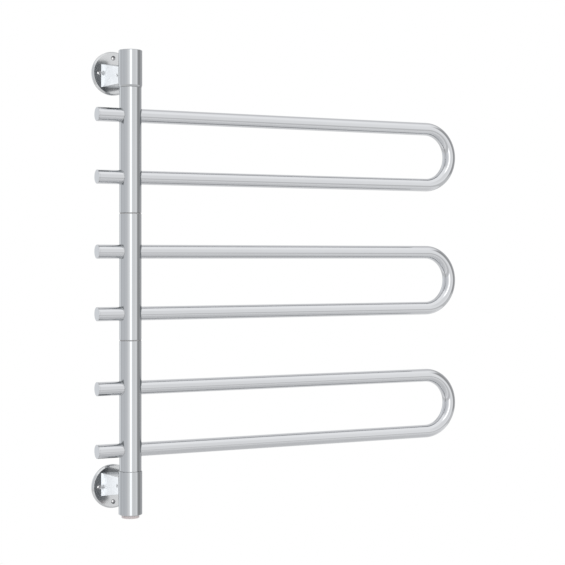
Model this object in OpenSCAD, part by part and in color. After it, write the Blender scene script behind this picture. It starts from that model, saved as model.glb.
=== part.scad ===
// Wall-hung heated towel rail with three U-shaped loops that swivel one by one about a round post.
// Each loop's two bars pass through their own section of the post and end as short closed stubs.
// Hollow spindles carry the sections on each other, between a collar and a cap held by two wall brackets.
// The origin is the centre of the lower wall flange's back face, on the wall.
// +Z is up, +Y points into the wall, and the loops lie along +X at rest.

/* [Loops] */
// Outside diameter of the bars
bar_d = 24; // [22:0.5:26]
// Wall thickness of the bars' tube
bar_wall = 1.2; // [1:0.1:2]
// Distance between the two bars of a loop, centre to centre
bar_pair = 106; // [96:1:112]
// Distance from one loop to the next, centre to centre
loop_pitch = 233; // [228:1:260]
// Distance from the post's axis to the outside of the bend
loop_reach = 660.5; // [400:0.5:800]
// Distance from the post's axis to the closed ends of the stubs
stub_reach = 61; // [45:0.5:90]
// Thickness of the disc that closes a stub
stub_cap_t = 2; // [1.5:0.1:3]
// Length of the plug that centres the disc in the tube
stub_plug_len = 5; // [3:0.5:8]
// Broken edge round the stub's disc
stub_edge = 0.6; // [0.3:0.1:1]

/* [Post] */
// Outside diameter of the post's sections
post_d = 38; // [36:0.5:42]
// Wall thickness of the post's sections
sleeve_wall = 1.5; // [1.2:0.1:1.8]
// Distance from the wall to the post's axis
post_reach = 90; // [82:1:120]
// Height of the lowest bar's centre above the collar
first_bar_rise = 36; // [35:0.5:60]
// Height of the cap's lower edge above the highest bar's centre
cap_rise = 48; // [40:0.5:70]
// How far the lower seam lies above the middle between the bars next to it
lower_seam_shift = 18; // [-15:0.5:20]
// How far the upper seam lies above the middle between the bars next to it
upper_seam_shift = 2; // [-15:0.5:20]

/* [Cap and collar] */
// How far the cap and the collar stand out past the post, all round
cap_step = 1.25; // [0.8:0.05:2.5]
// Wall thickness of the cap and the collar
shell_wall = 2; // [1.6:0.1:2.4]
// Height of the cap
cap_h = 63.5; // [58:0.5:90]
// Thickness of the cap's closed top
cap_top_t = 3; // [2:0.5:5]
// Broken edge round the cap's top and the collar's foot
shell_bevel = 1; // [0.5:0.1:1.5]
// Height of the slanted lip at the cap's lower edge
cap_lip_h = 3.5; // [1:0.5:6]
// How far the slanted lip draws in
cap_lip_in = 1; // [0.4:0.1:1.2]
// Height of the collar's top above the lower flange's centre
collar_rise = 38; // [34:0.5:50]
// How far the collar reaches below the lower flange's centre
collar_drop = 36.5; // [32:0.5:50]
// How far the cap's lower edge lies nearer the middle than the upper flange's centre
cap_drop = 33; // [30:0.5:36]

/* [Wall brackets] */
// Diameter of the wall flanges
flange_d = 77; // [74:0.5:90]
// Thickness of the wall flanges
flange_t = 6.5; // [5.5:0.5:12]
// Width of the bevel round a flange's face
flange_bevel = 2.5; // [1.5:0.5:5]
// Width of an arm at its flange
arm_base_w = 45; // [42:0.5:46]
// Width of an arm where it wraps the post
arm_tip_w = 29; // [25:0.5:31]
// Reach of an arm from the flange's centre towards the middle of the rail
arm_inward = 25; // [22:0.5:27]
// Reach of an arm away from the middle, at its flange
arm_base_outward = 15.5; // [14:0.5:19]
// Reach of an arm away from the middle, where it wraps the post
arm_tip_outward = 2; // [0:0.5:6]
// Distance between the two screw holes beside an arm
screw_spacing = 54; // [53:0.5:56]
// Diameter of the flange's screw holes
screw_hole_d = 4.5; // [4:0.1:5.5]
// Diameter of the flange's countersinks
countersink_d = 8; // [7:0.5:9]
// Diameter of the cable's hole in the lower flange
cable_hole_d = 12; // [10:0.5:14]
// Bore of the rubber grommet in that hole
grommet_bore_d = 8; // [6:0.5:9]
// Diameter of the wire way through the lower arm
wire_way_d = 10; // [8:0.5:12]

/* [Spigots and bracket screws] */
// Offset of the spigots from the flanges' centres, towards the middle of the rail
spigot_offset = 10.5; // [9:0.5:12]
// Diameter of the spigots
spigot_d = 16; // [14:0.5:18]
// Bore of the spigots
spigot_bore_d = 9; // [8:0.5:10]
// Reach of the spigots from the post's axis
spigot_reach = 36; // [32:0.5:44]
// Distance of the grub screws from the post's axis
grub_reach = 22; // [21.5:0.5:26]
// Diameter of the grub screws
grub_d = 6.5; // [4:0.5:7]
// Size across flats of the grub screws' sockets
grub_socket = 3; // [2:0.5:3.5]
// Diameter of the screws that hold an arm to its flange
arm_screw_d = 5; // [4:0.5:6]
// Length of those screws
arm_screw_len = 18; // [14:0.5:25]
// Diameter of their heads
arm_screw_head_d = 9.5; // [8.5:0.5:11]
// Size across flats of their sockets
arm_screw_socket = 3; // [2:0.5:3.5]
// Distance between them
arm_screw_spacing = 26; // [24:0.5:30]
// Their offset from the flange's centre, towards the middle of the rail
arm_screw_offset = 2; // [0:0.5:6]

/* [Swivel joints] */
// Diameter of the spindles
spindle_d = 20; // [17:0.5:21]
// Bore of the spindles, where the wires pass
spindle_bore_d = 12; // [10:0.5:13]
// Length of a section's bush
bush_len = 16; // [12:0.5:17]
// Length of the bush in the cap
cap_bush_len = 12; // [8:0.5:12]
// Outside diameter of the bush in the cap
cap_bush_d = 26; // [24:0.5:28]
// Length of a spindle's plug in its section
plug_len = 16; // [12:0.5:20]
// Thickness of the thrust washers
washer_t = 1.7; // [1.2:0.1:3]
// How far the washers lie back from the post's surface
washer_recess = 1; // [0.5:0.1:1.5]

/* [Switch] */
// Width of the bezel round the push button, in the collar's mouth
bezel_w = 2.7; // [2.5:0.1:5]
// How far the bezel lies back from the collar's foot
bezel_recess = 0.5; // [0.2:0.1:1.5]
// Thickness of the bezel's lip, which holds the button's rim
bezel_lip_t = 2.5; // [1.5:0.1:3.5]
// How far the button stands out of the collar's foot
button_out = 5.7; // [3:0.1:8]
// Travel of the button
button_travel = 2; // [1:0.5:2]
// Diameter of the switch's housing
switch_d = 22; // [18:0.5:26]
// Height of the switch's housing
switch_h = 15; // [12:0.5:18]

/* [Heating and wiring] */
// Diameter of the heating elements
element_d = 6; // [4:0.5:8]
// Diameter of the insulated wires
wire_d = 2.2; // [1.6:0.1:2.4]
// Diameter of the crimped joints
crimp_d = 4; // [3:0.1:4.2]
// Length of the crimped joints
crimp_len = 8; // [6:0.5:12]

/* [Hidden] */
$fn = 72;

LOWER = 0;
MIDDLE = 1;
UPPER = 2;
FRONT = -1;
BACK = 1;

// Named clearances
running_gap = 0.05;
fit_gap = 0.05;
thrust_gap = 0.3;
end_gap = 0.5;
free_gap = 0.3;
wire_gap = 1;
neck_over = 1;
cut = 1;
wire_facets = 24;

// Surface colours
steel = [0.78, 0.80, 0.81];
bright_steel = [0.86, 0.88, 0.90];
dark_steel = [0.45, 0.47, 0.48];
turned_brass = [0.80, 0.66, 0.38];
bush_plastic = [0.93, 0.92, 0.88];
black_plastic = [0.12, 0.12, 0.13];
button_plastic = [0.80, 0.74, 0.75];
element_sheath = [0.62, 0.34, 0.28];
wire_cover = [0.30, 0.22, 0.18];

// Post, loops and their heights
bar_r = bar_d / 2;
bar_inner_r = bar_r - bar_wall;
post_r = post_d / 2;
sleeve_inner_r = post_r - sleeve_wall;
cap_r = post_r + cap_step;
shell_inner_r = cap_r - shell_wall;
hub_r = shell_inner_r - fit_gap;
bend_r = bar_pair / 2;
bend_x = loop_reach - bar_r - bend_r;
first_loop_z = collar_rise + first_bar_rise + bend_r;
function loop_z(level) = first_loop_z + level * loop_pitch;
seam_gap = washer_t + thrust_gap;
lower_seam_z = (loop_z(LOWER) + loop_z(MIDDLE)) / 2 + lower_seam_shift;
upper_seam_z = (loop_z(MIDDLE) + loop_z(UPPER)) / 2 + upper_seam_shift;
cap_bottom_z = loop_z(UPPER) + bend_r + cap_rise;
upper_flange_z = cap_bottom_z + cap_drop;
section_bottom = [
    collar_rise + end_gap,
    lower_seam_z + seam_gap / 2,
    upper_seam_z + seam_gap / 2,
];
section_top = [
    lower_seam_z - seam_gap / 2,
    upper_seam_z - seam_gap / 2,
    cap_bottom_z - end_gap,
];
wire_lane_r = (bar_r + sleeve_inner_r) / 2;

// Swivel joints
spindle_r = spindle_d / 2;
neck_len = seam_gap + bush_len + neck_over;
cap_neck_len = seam_gap + cap_bush_len + neck_over;
washer_r = post_r - washer_recess;
hub_top_z = section_bottom[LOWER] - seam_gap;
spigot_end_wall = 2;
spigot_inner_y = spindle_r + spigot_end_wall;
hub_floor = 1.5;
hub_bottom_z = spigot_offset - spigot_d / 2 - hub_floor;
cap_hub_bottom_z = section_top[UPPER] + seam_gap;
upper_spigot_z = upper_flange_z - spigot_offset;
cap_hub_h = upper_spigot_z + spigot_d / 2 + hub_floor - cap_hub_bottom_z;

// Wall brackets
flange_r = flange_d / 2;
flange_edge_t = flange_t - flange_bevel;
countersink_h = (countersink_d - screw_hole_d) / 2;
arm_tip_inset = 8;
arm_tip_y = post_reach - arm_tip_inset;
arm_screw_sink = 0.3;
arm_screw_clear = 0.25;
grommet_sink = 0.7;
grommet_len = flange_t - free_gap - grommet_sink;
grub_sink = 0.6;
grub_head_x = arm_half_w(post_reach - grub_reach) - grub_sink;
grub_len = grub_head_x - spigot_d / 2 - fit_gap;
function arm_half_w(y) =
    (arm_base_w + (arm_tip_w - arm_base_w) * (y - flange_t) / (arm_tip_y - flange_t)) / 2;

// Switch
bezel_bore_r = hub_r - bezel_w;
bezel_bottom_z = bezel_recess - collar_drop;
button_r = bezel_bore_r - free_gap;
button_bottom_z = -collar_drop - button_out;
button_rim_t = 1.5;
button_rim_w = 1.4;
button_rim_r = button_r + button_rim_w;
button_round = 1.2;
button_steps = 6;
button_rim_z = bezel_bottom_z + bezel_lip_t + free_gap;
bezel_top_z = button_rim_z + button_rim_t + button_travel + free_gap;
button_stem_d = 6;
stem_engagement = 1.5;
button_stem_h = button_travel + free_gap + stem_engagement;
stem_hole_h = stem_engagement + button_travel + wire_gap;
spring_d = 9;
spring_wire_d = 0.8;
spring_turns = 4;
spring_recess_r = 6;
spring_recess_h = 5;
switch_flange_t = 1.5;
switch_side_gap = 0.5;
switch_flange_r = hub_r - switch_side_gap;
ring_nut_h = 3;
terminal_x = 5;
terminal_t = 0.8;
terminal_w = 5;
terminal_h = 5;

// Wiring
element_drop = bar_inner_r - element_d / 2 - free_gap;
element_end_x = 8;
lead_hole_gap = 1.1;
lead_hole_d = wire_d + 2 * lead_hole_gap;
bore_wire_y = 2.5;
wire_start = 2;
wire_end_gap = 0.5;
earth_screw_x = 12;
earth_screw_y = 3.4;
earth_screw_d = 3.5;
earth_head_d = 7;
earth_head_h = 2.4;
earth_socket = 2;
earth_screw_len = 6;

// Places a shape on the post's axis at the given height
module on_post(z = 0) {
    translate([0, -post_reach, z]) children();
}

// Turns a bracket piece over for the upper end, where the middle of the rail lies below
module at_upper_end() {
    translate([0, 0, upper_flange_z]) mirror([0, 0, 1]) children();
}

// Points a shape's +Z along -Y, away from the wall
module from_wall() {
    rotate([90, 0, 0]) children();
}

// Points a shape's +Z along +X
module along_x() {
    rotate([0, 90, 0]) children();
}

module tube(outer_r, inner_r, h) {
    difference() {
        cylinder(r = outer_r, h = h);
        translate([0, 0, -cut]) cylinder(r = inner_r, h = h + 2 * cut);
    }
}

module hex_socket(across_flats, depth) {
    translate([0, 0, -cut]) cylinder(d = across_flats / cos(30), h = depth + cut, $fn = 6);
}

// A straight piece of wire between two points
module wire_piece(from, to) {
    step = to - from;
    length = norm(step);
    translate(from)
        rotate([0, acos(step.z / length), atan2(step.y, step.x)])
            cylinder(d = wire_d, h = length, $fn = wire_facets);
}

// A wire through a list of points, with a ball at each corner
module wire_run(points) {
    for (i = [0 : len(points) - 2]) {
        wire_piece(points[i], points[i + 1]);
    }
    for (i = [1 : len(points) - 2]) {
        translate(points[i]) sphere(d = wire_d, $fn = wire_facets);
    }
}

// Bracket pieces, drawn for the lower end

module flange_screw_hole() {
    translate([0, 0, -cut]) cylinder(d = screw_hole_d, h = flange_t + 2 * cut);
    translate([0, 0, flange_t - countersink_h])
        cylinder(d1 = screw_hole_d, d2 = countersink_d + 2 * cut, h = countersink_h + cut);
}

module at_arm_screws() {
    for (side = [-1, 1]) {
        translate([side * arm_screw_spacing / 2, 0, arm_screw_offset]) from_wall() children();
    }
}

module countersunk_screw_shape(grow) {
    head_r = arm_screw_head_d / 2 + grow;
    shank_r = arm_screw_d / 2 + grow;
    cylinder(r1 = head_r, r2 = shank_r, h = head_r - shank_r);
    cylinder(r = shank_r, h = arm_screw_len);
}

module wall_flange(wired) {
    difference() {
        from_wall()
            rotate_extrude()
                polygon([
                    [0, 0],
                    [flange_r, 0],
                    [flange_r, flange_edge_t],
                    [flange_r - flange_bevel, flange_t],
                    [0, flange_t],
                ]);
        for (side = [-1, 1]) {
            translate([side * screw_spacing / 2, 0, 0]) from_wall() flange_screw_hole();
        }
        translate([0, 0, -screw_spacing / 2]) from_wall() flange_screw_hole();
        at_arm_screws() translate([0, 0, arm_screw_sink]) countersunk_screw_shape(arm_screw_clear);
        at_arm_screws() translate([0, 0, -cut])
            cylinder(r = arm_screw_head_d / 2 + arm_screw_clear, h = cut + arm_screw_sink);
        if (wired) {
            translate([0, cut, spigot_offset])
                from_wall() cylinder(d = cable_hole_d, h = flange_t + 2 * cut);
        }
    }
}

module arm_blank() {
    intersection() {
        rotate([90, 0, 90])
            linear_extrude(height = arm_base_w, center = true)
                polygon([
                    [-flange_t, -arm_base_outward],
                    [-flange_t, arm_inward],
                    [-arm_tip_y, arm_inward],
                    [-arm_tip_y, -arm_tip_outward],
                ]);
        translate([0, 0, -arm_base_outward - cut])
            linear_extrude(height = arm_base_outward + arm_inward + 2 * cut)
                polygon([
                    [-arm_base_w / 2, -flange_t],
                    [arm_base_w / 2, -flange_t],
                    [arm_tip_w / 2, -arm_tip_y],
                    [-arm_tip_w / 2, -arm_tip_y],
                ]);
    }
}

module bracket_arm(wired) {
    saddle_r = cap_r + fit_gap;
    socket_len = spigot_reach + free_gap;
    difference() {
        arm_blank();
        on_post(-arm_base_outward - cut)
            cylinder(r = saddle_r, h = arm_base_outward + arm_inward + 2 * cut);
        translate([0, -post_reach + socket_len, spigot_offset])
            from_wall() cylinder(d = spigot_d + 2 * fit_gap, h = socket_len);
        if (wired) {
            translate([0, 0, spigot_offset]) from_wall() cylinder(d = wire_way_d, h = arm_tip_y);
        }
        at_arm_screws() translate([0, 0, flange_t - cut])
            cylinder(r = arm_screw_d / 2 + fit_gap, h = arm_screw_len + wire_gap - flange_t + cut);
        translate([-arm_base_w / 2 - cut, -post_reach + grub_reach, spigot_offset])
            along_x() cylinder(r = grub_d / 2 + fit_gap, h = arm_base_w / 2 + cut);
    }
}

module arm_screws() {
    at_arm_screws() translate([0, 0, arm_screw_sink]) {
        difference() {
            countersunk_screw_shape(0);
            hex_socket(arm_screw_socket, arm_screw_d / 2);
        }
    }
}

module grub_screw() {
    translate([-grub_head_x, -post_reach + grub_reach, spigot_offset]) along_x() {
        difference() {
            cylinder(d = grub_d, h = grub_len);
            hex_socket(grub_socket, grub_len / 2);
        }
    }
}

module spigot(bore_d) {
    length = spigot_reach - spigot_inner_y;
    translate([0, -post_reach + spigot_reach, spigot_offset]) from_wall() {
        difference() {
            cylinder(d = spigot_d, h = length);
            translate([0, 0, -cut]) cylinder(d = bore_d, h = length + 2 * cut);
        }
    }
}

// The round hole that the spigot takes in a shell or hub, open towards the wall
module spigot_hole(z, from_y, d) {
    translate([0, cap_r + cut, z]) from_wall() cylinder(d = d, h = cap_r + cut - from_y);
}

// Lower bracket

module lower_wall_flange() {
    color(bright_steel) wall_flange(true);
}

module lower_bracket_arm() {
    color(bright_steel) bracket_arm(true);
}

module lower_arm_screws() {
    color(dark_steel) arm_screws();
}

module lower_grub_screw() {
    color(dark_steel) grub_screw();
}

module lower_spigot() {
    color(turned_brass) spigot(spigot_bore_d);
}

module cable_grommet() {
    groove_r = cable_hole_d / 2 - fit_gap;
    color(black_plastic)
        translate([0, 0, spigot_offset])
            from_wall() translate([0, 0, free_gap]) tube(groove_r, grommet_bore_d / 2, grommet_len);
}

// Upper bracket

module upper_wall_flange() {
    color(bright_steel) at_upper_end() wall_flange(false);
}

module upper_bracket_arm() {
    color(bright_steel) at_upper_end() bracket_arm(false);
}

module upper_arm_screws() {
    color(dark_steel) at_upper_end() arm_screws();
}

module upper_grub_screw() {
    color(dark_steel) at_upper_end() grub_screw();
}

module upper_spigot() {
    color(turned_brass) at_upper_end() spigot(spigot_bore_d);
}

// Collar at the post's foot

module bottom_collar() {
    height = collar_rise + collar_drop;
    color(steel) on_post() {
        difference() {
            translate([0, 0, -collar_drop])
                rotate_extrude()
                    polygon([
                        [shell_inner_r, 0],
                        [cap_r - shell_bevel, 0],
                        [cap_r, shell_bevel],
                        [cap_r, height - shell_bevel / 2],
                        [cap_r - shell_bevel / 2, height],
                        [shell_inner_r, height],
                    ]);
            spigot_hole(spigot_offset, 0, spigot_d + 2 * fit_gap);
        }
    }
}

module collar_spindle() {
    color(turned_brass) on_post() {
        difference() {
            union() {
                translate([0, 0, hub_bottom_z]) cylinder(r = hub_r, h = hub_top_z - hub_bottom_z);
                translate([0, 0, hub_top_z]) cylinder(r = spindle_r, h = neck_len);
            }
            translate([0, 0, hub_bottom_z - cut])
                cylinder(d = spindle_bore_d, h = hub_top_z + neck_len - hub_bottom_z + 2 * cut);
            spigot_hole(spigot_offset, spigot_inner_y - fit_gap, spigot_d + 2 * fit_gap);
            spigot_hole(spigot_offset, 0, spigot_bore_d);
            translate([earth_screw_x, earth_screw_y, hub_bottom_z - cut])
                cylinder(r = earth_screw_d / 2 + fit_gap, h = earth_screw_len + wire_gap + cut);
        }
    }
}

module washer_at(z) {
    color(black_plastic) on_post(z) tube(washer_r, spindle_r + free_gap, washer_t);
}

module collar_washer() {
    washer_at(hub_top_z);
}

module earth_screw() {
    color(dark_steel) on_post(hub_bottom_z) translate([earth_screw_x, earth_screw_y, 0]) {
        translate([0, 0, -earth_head_h]) {
            difference() {
                cylinder(d = earth_head_d, h = earth_head_h);
                hex_socket(earth_socket, earth_head_h / 2);
            }
        }
        cylinder(d = earth_screw_d, h = earth_screw_len);
    }
}

// Cap at the post's head

module top_cap() {
    color(steel) on_post(cap_bottom_z) {
        difference() {
            rotate_extrude()
                polygon([
                    [shell_inner_r, 0],
                    [cap_r - cap_lip_in, 0],
                    [cap_r, cap_lip_h],
                    [cap_r, cap_h - shell_bevel],
                    [cap_r - shell_bevel, cap_h],
                    [0, cap_h],
                    [0, cap_h - cap_top_t],
                    [shell_inner_r, cap_h - cap_top_t],
                ]);
            spigot_hole(upper_spigot_z - cap_bottom_z, 0, spigot_d + 2 * fit_gap);
        }
    }
}

module cap_hub() {
    color(turned_brass) on_post(cap_hub_bottom_z) {
        difference() {
            cylinder(r = hub_r, h = cap_hub_h);
            translate([0, 0, -cut]) cylinder(r = cap_bush_d / 2 + fit_gap, h = cap_bush_len + cut);
            cylinder(r = spindle_r + neck_over, h = cap_bush_len + 2 * neck_over);
            spigot_hole(
                upper_spigot_z - cap_hub_bottom_z, spigot_inner_y - fit_gap, spigot_d + 2 * fit_gap
            );
        }
    }
}

module cap_bush() {
    color(bush_plastic)
        on_post(cap_hub_bottom_z) tube(cap_bush_d / 2, spindle_r + running_gap, cap_bush_len);
}

// Push-button switch in the collar's mouth

module switch_bezel() {
    height = bezel_top_z - bezel_bottom_z;
    rim_bore_r = button_rim_r + free_gap;
    color(bright_steel) on_post(bezel_bottom_z) {
        rotate_extrude()
            polygon([
                [bezel_bore_r, 0],
                [hub_r, 0],
                [hub_r, height],
                [rim_bore_r, height],
                [rim_bore_r, bezel_lip_t],
                [bezel_bore_r, bezel_lip_t],
            ]);
    }
}

module switch_housing() {
    color(black_plastic) on_post(bezel_top_z) {
        difference() {
            union() {
                cylinder(r = switch_flange_r, h = switch_flange_t);
                cylinder(d = switch_d, h = switch_h);
            }
            translate([0, 0, -cut]) cylinder(r = button_stem_d / 2 + free_gap, h = stem_hole_h + cut);
        }
    }
}

module switch_ring_nut() {
    color(turned_brass)
        on_post(bezel_top_z + switch_flange_t) tube(hub_r, switch_d / 2 + fit_gap, ring_nut_h);
}

module switch_terminals() {
    color(turned_brass) on_post(bezel_top_z + switch_h) {
        for (side = [-1, 1]) {
            translate([side * terminal_x - terminal_t / 2, -terminal_w / 2, 0])
                cube([terminal_t, terminal_w, terminal_h]);
        }
    }
}

module switch_button() {
    rim_h = button_rim_z - button_bottom_z;
    top_h = rim_h + button_rim_t;
    color(button_plastic) on_post(button_bottom_z) {
        rotate_extrude()
            polygon(concat(
                [[0, 0]],
                [for (i = [0 : button_steps])
                    [
                        button_r - button_round + button_round * sin(90 * i / button_steps),
                        button_round - button_round * cos(90 * i / button_steps),
                    ]
                ],
                [
                    [button_r, rim_h],
                    [button_rim_r, rim_h],
                    [button_rim_r, top_h],
                    [spring_recess_r, top_h],
                    [spring_recess_r, top_h - spring_recess_h],
                    [button_stem_d / 2, top_h - spring_recess_h],
                    [button_stem_d / 2, top_h + button_stem_h],
                    [0, top_h + button_stem_h],
                ]
            ));
    }
}

// A closed tube along a rising coil, as rings of points joined side by side
module coil(coil_r, tube_r, rise, turns, rings_per_turn = 16, sides = 6) {
    rings = turns * rings_per_turn;
    points = [
        for (i = [0 : rings])
            for (j = [0 : sides - 1])
                let (turn = 360 * i / rings_per_turn, around = 360 * j / sides)
                [
                    (coil_r + tube_r * cos(around)) * cos(turn),
                    (coil_r + tube_r * cos(around)) * sin(turn),
                    rise * i / rings + tube_r * sin(around),
                ]
    ];
    walls = [
        for (i = [0 : rings - 1])
            for (j = [0 : sides - 1])
                let (a = i * sides + j, b = i * sides + (j + 1) % sides)
                [[a, b, b + sides], [a, b + sides, a + sides]]
    ];
    polyhedron(
        points = points,
        faces = concat(
            [for (pair = walls) for (face = pair) face],
            [for (j = [1 : sides - 2]) [0, j + 1, j]],
            [for (j = [1 : sides - 2]) [rings * sides, rings * sides + j, rings * sides + j + 1]]
        )
    );
}

module button_spring() {
    seat_z = button_rim_z + button_rim_t - spring_recess_h;
    wire_r = spring_wire_d / 2;
    rise = bezel_top_z - seat_z - spring_wire_d - 2 * fit_gap;
    color(steel) on_post(seat_z + wire_r + fit_gap) coil(spring_d / 2, wire_r, rise, spring_turns);
}

// Wires from the grommet to the switch and up to the lowest section, and the earth
module supply_wires() {
    pair_x = 1.8;
    pair_rise = 0.9;
    pair_z = spigot_offset + pair_rise;
    earth_fall = 2.2;
    earth_z = spigot_offset - earth_fall;
    inlet_y = post_reach - free_gap - grommet_len - wire_gap;
    turn_z = hub_bottom_z - 2 * wire_d;
    terminal_top_z = bezel_top_z + switch_h + terminal_h + fit_gap;
    top_z = section_bottom[LOWER] + wire_start - wire_end_gap;
    live_y = 0.6;
    earth_run_z = hub_bottom_z - wire_d / 2 - fit_gap;
    color(wire_cover) on_post() {
        wire_run([
            [-pair_x, inlet_y, pair_z],
            [-pair_x, live_y, pair_z],
            [-pair_x, live_y, turn_z],
            [-terminal_x, live_y, turn_z],
            [-terminal_x, live_y, terminal_top_z],
        ]);
        wire_run([
            [terminal_x, -bore_wire_y, terminal_top_z],
            [terminal_x, -bore_wire_y, turn_z],
            [0, -bore_wire_y, turn_z],
            [0, -bore_wire_y, top_z],
        ]);
        wire_run([
            [pair_x, inlet_y, pair_z],
            [pair_x, bore_wire_y, pair_z],
            [pair_x, bore_wire_y, top_z],
        ]);
        wire_run([
            [0, inlet_y, earth_z],
            [0, earth_screw_y, earth_z],
            [0, earth_screw_y, earth_run_z],
            [earth_screw_x - earth_head_d / 2 - fit_gap, earth_screw_y, earth_run_z],
        ]);
    }
}

// Swivelling sections

module sleeve(level) {
    color(steel) on_post() {
        difference() {
            translate([0, 0, section_bottom[level]])
                tube(post_r, sleeve_inner_r, section_top[level] - section_bottom[level]);
            for (side = [-1, 1]) {
                translate([-post_r - cut, 0, loop_z(level) + side * bend_r])
                    along_x() cylinder(r = bar_r + fit_gap, h = post_d + 2 * cut);
            }
        }
    }
}

// Two straight legs joined by a half-round bend, centred on the loop's middle
module loop_shape(r, start_x) {
    for (side = [-1, 1]) {
        translate([start_x, 0, side * bend_r]) along_x() cylinder(r = r, h = bend_x - start_x);
    }
    translate([bend_x, 0, 0])
        rotate([90, 0, 0])
            rotate([0, 0, -90])
                rotate_extrude(angle = 180)
                    translate([bend_r, 0]) circle(r = r);
}

module loop_tube(level) {
    start_x = -stub_reach + stub_cap_t;
    color(steel) on_post(loop_z(level)) {
        difference() {
            loop_shape(bar_r, start_x);
            loop_shape(bar_inner_r, start_x - cut);
            translate([0, 0, bend_r - element_drop]) from_wall() cylinder(d = lead_hole_d, h = bar_d);
            translate([0, bar_d, -bend_r - element_drop]) from_wall() cylinder(d = lead_hole_d, h = bar_d);
        }
    }
}

module stub_caps(level) {
    plug_r = bar_inner_r - fit_gap;
    color(steel) on_post(loop_z(level)) {
        for (side = [-1, 1]) {
            translate([-stub_reach, 0, side * bend_r]) along_x()
                rotate_extrude()
                    polygon([
                        [0, 0],
                        [bar_r - stub_edge, 0],
                        [bar_r, stub_edge],
                        [bar_r, stub_cap_t],
                        [plug_r, stub_cap_t],
                        [plug_r, stub_cap_t + stub_plug_len],
                        [0, stub_cap_t + stub_plug_len],
                    ]);
        }
    }
}

module bush(level) {
    color(bush_plastic)
        on_post(section_bottom[level])
            tube(sleeve_inner_r - fit_gap, spindle_r + running_gap, bush_len);
}

module spindle(level, rise) {
    color(turned_brass) on_post(section_top[level]) {
        difference() {
            union() {
                translate([0, 0, -plug_len]) cylinder(r = sleeve_inner_r - fit_gap, h = plug_len);
                cylinder(r = spindle_r, h = rise);
            }
            translate([0, 0, -plug_len - cut])
                cylinder(d = spindle_bore_d, h = plug_len + rise + 2 * cut);
        }
    }
}

module washer(level) {
    washer_at(section_top[level]);
}

// The element lies on the tube's floor, with a tail through the tube's side at each end
module heating_element(level) {
    crimp_y = wire_lane_r - crimp_d / 2 - fit_gap;
    color(element_sheath) on_post(loop_z(level) - element_drop) {
        loop_shape(element_d / 2, element_end_x);
        wire_run([
            [element_end_x + wire_d, 0, bend_r],
            [0, 0, bend_r],
            [0, FRONT * crimp_y, bend_r],
        ]);
        wire_run([
            [element_end_x + wire_d, 0, -bend_r],
            [0, 0, -bend_r],
            [0, BACK * crimp_y, -bend_r],
        ]);
    }
}

// A pair of wires up the section, one in front of the bars and one behind them
module lead_wires(level) {
    low_z = section_bottom[level] + bush_len + neck_over + wire_gap + wire_d / 2;
    high_z = section_top[level] - plug_len - wire_gap - wire_d / 2;
    front_crimp_z = loop_z(level) + bend_r - element_drop;
    back_crimp_z = loop_z(level) - bend_r - element_drop;
    top_z = section_top[level] + seam_gap + wire_start - wire_end_gap;
    color(wire_cover) on_post() {
        for (side = [FRONT, BACK]) {
            crimp_z = side == FRONT ? front_crimp_z : back_crimp_z;
            start = [
                [0, side * bore_wire_y, section_bottom[level] + wire_start],
                [0, side * bore_wire_y, low_z],
                [0, side * wire_lane_r, low_z],
            ];
            through = [
                [0, side * wire_lane_r, high_z],
                [0, side * bore_wire_y, high_z],
                [0, side * bore_wire_y, top_z],
            ];
            last = [[0, side * wire_lane_r, crimp_z]];
            wire_run(concat(start, level == UPPER ? last : through));
            translate([0, side * wire_lane_r, crimp_z - crimp_len / 2])
                cylinder(d = crimp_d, h = crimp_len, $fn = wire_facets);
        }
    }
}

// Lower section

module lower_sleeve() {
    sleeve(LOWER);
}

module lower_loop_tube() {
    loop_tube(LOWER);
}

module lower_stub_caps() {
    stub_caps(LOWER);
}

module lower_bush() {
    bush(LOWER);
}

module lower_spindle() {
    spindle(LOWER, neck_len);
}

module lower_washer() {
    washer(LOWER);
}

module lower_heating_element() {
    heating_element(LOWER);
}

module lower_lead_wires() {
    lead_wires(LOWER);
}

// Middle section

module middle_sleeve() {
    sleeve(MIDDLE);
}

module middle_loop_tube() {
    loop_tube(MIDDLE);
}

module middle_stub_caps() {
    stub_caps(MIDDLE);
}

module middle_bush() {
    bush(MIDDLE);
}

module middle_spindle() {
    spindle(MIDDLE, neck_len);
}

module middle_washer() {
    washer(MIDDLE);
}

module middle_heating_element() {
    heating_element(MIDDLE);
}

module middle_lead_wires() {
    lead_wires(MIDDLE);
}

// Upper section

module upper_sleeve() {
    sleeve(UPPER);
}

module upper_loop_tube() {
    loop_tube(UPPER);
}

module upper_stub_caps() {
    stub_caps(UPPER);
}

module upper_bush() {
    bush(UPPER);
}

module upper_spindle() {
    spindle(UPPER, cap_neck_len);
}

module upper_washer() {
    washer(UPPER);
}

module upper_heating_element() {
    heating_element(UPPER);
}

module upper_lead_wires() {
    lead_wires(UPPER);
}

lower_wall_flange();
upper_wall_flange();
lower_bracket_arm();
upper_bracket_arm();
lower_arm_screws();
upper_arm_screws();
lower_grub_screw();
upper_grub_screw();
lower_spigot();
upper_spigot();
cable_grommet();
bottom_collar();
collar_spindle();
collar_washer();
top_cap();
cap_hub();
cap_bush();
switch_bezel();
switch_housing();
switch_ring_nut();
switch_terminals();
switch_button();
button_spring();
supply_wires();
earth_screw();
lower_sleeve();
lower_loop_tube();
lower_stub_caps();
lower_bush();
lower_spindle();
lower_washer();
lower_heating_element();
lower_lead_wires();
middle_sleeve();
middle_loop_tube();
middle_stub_caps();
middle_bush();
middle_spindle();
middle_washer();
middle_heating_element();
middle_lead_wires();
upper_sleeve();
upper_loop_tube();
upper_stub_caps();
upper_bush();
upper_spindle();
upper_washer();
upper_heating_element();
upper_lead_wires();
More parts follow.
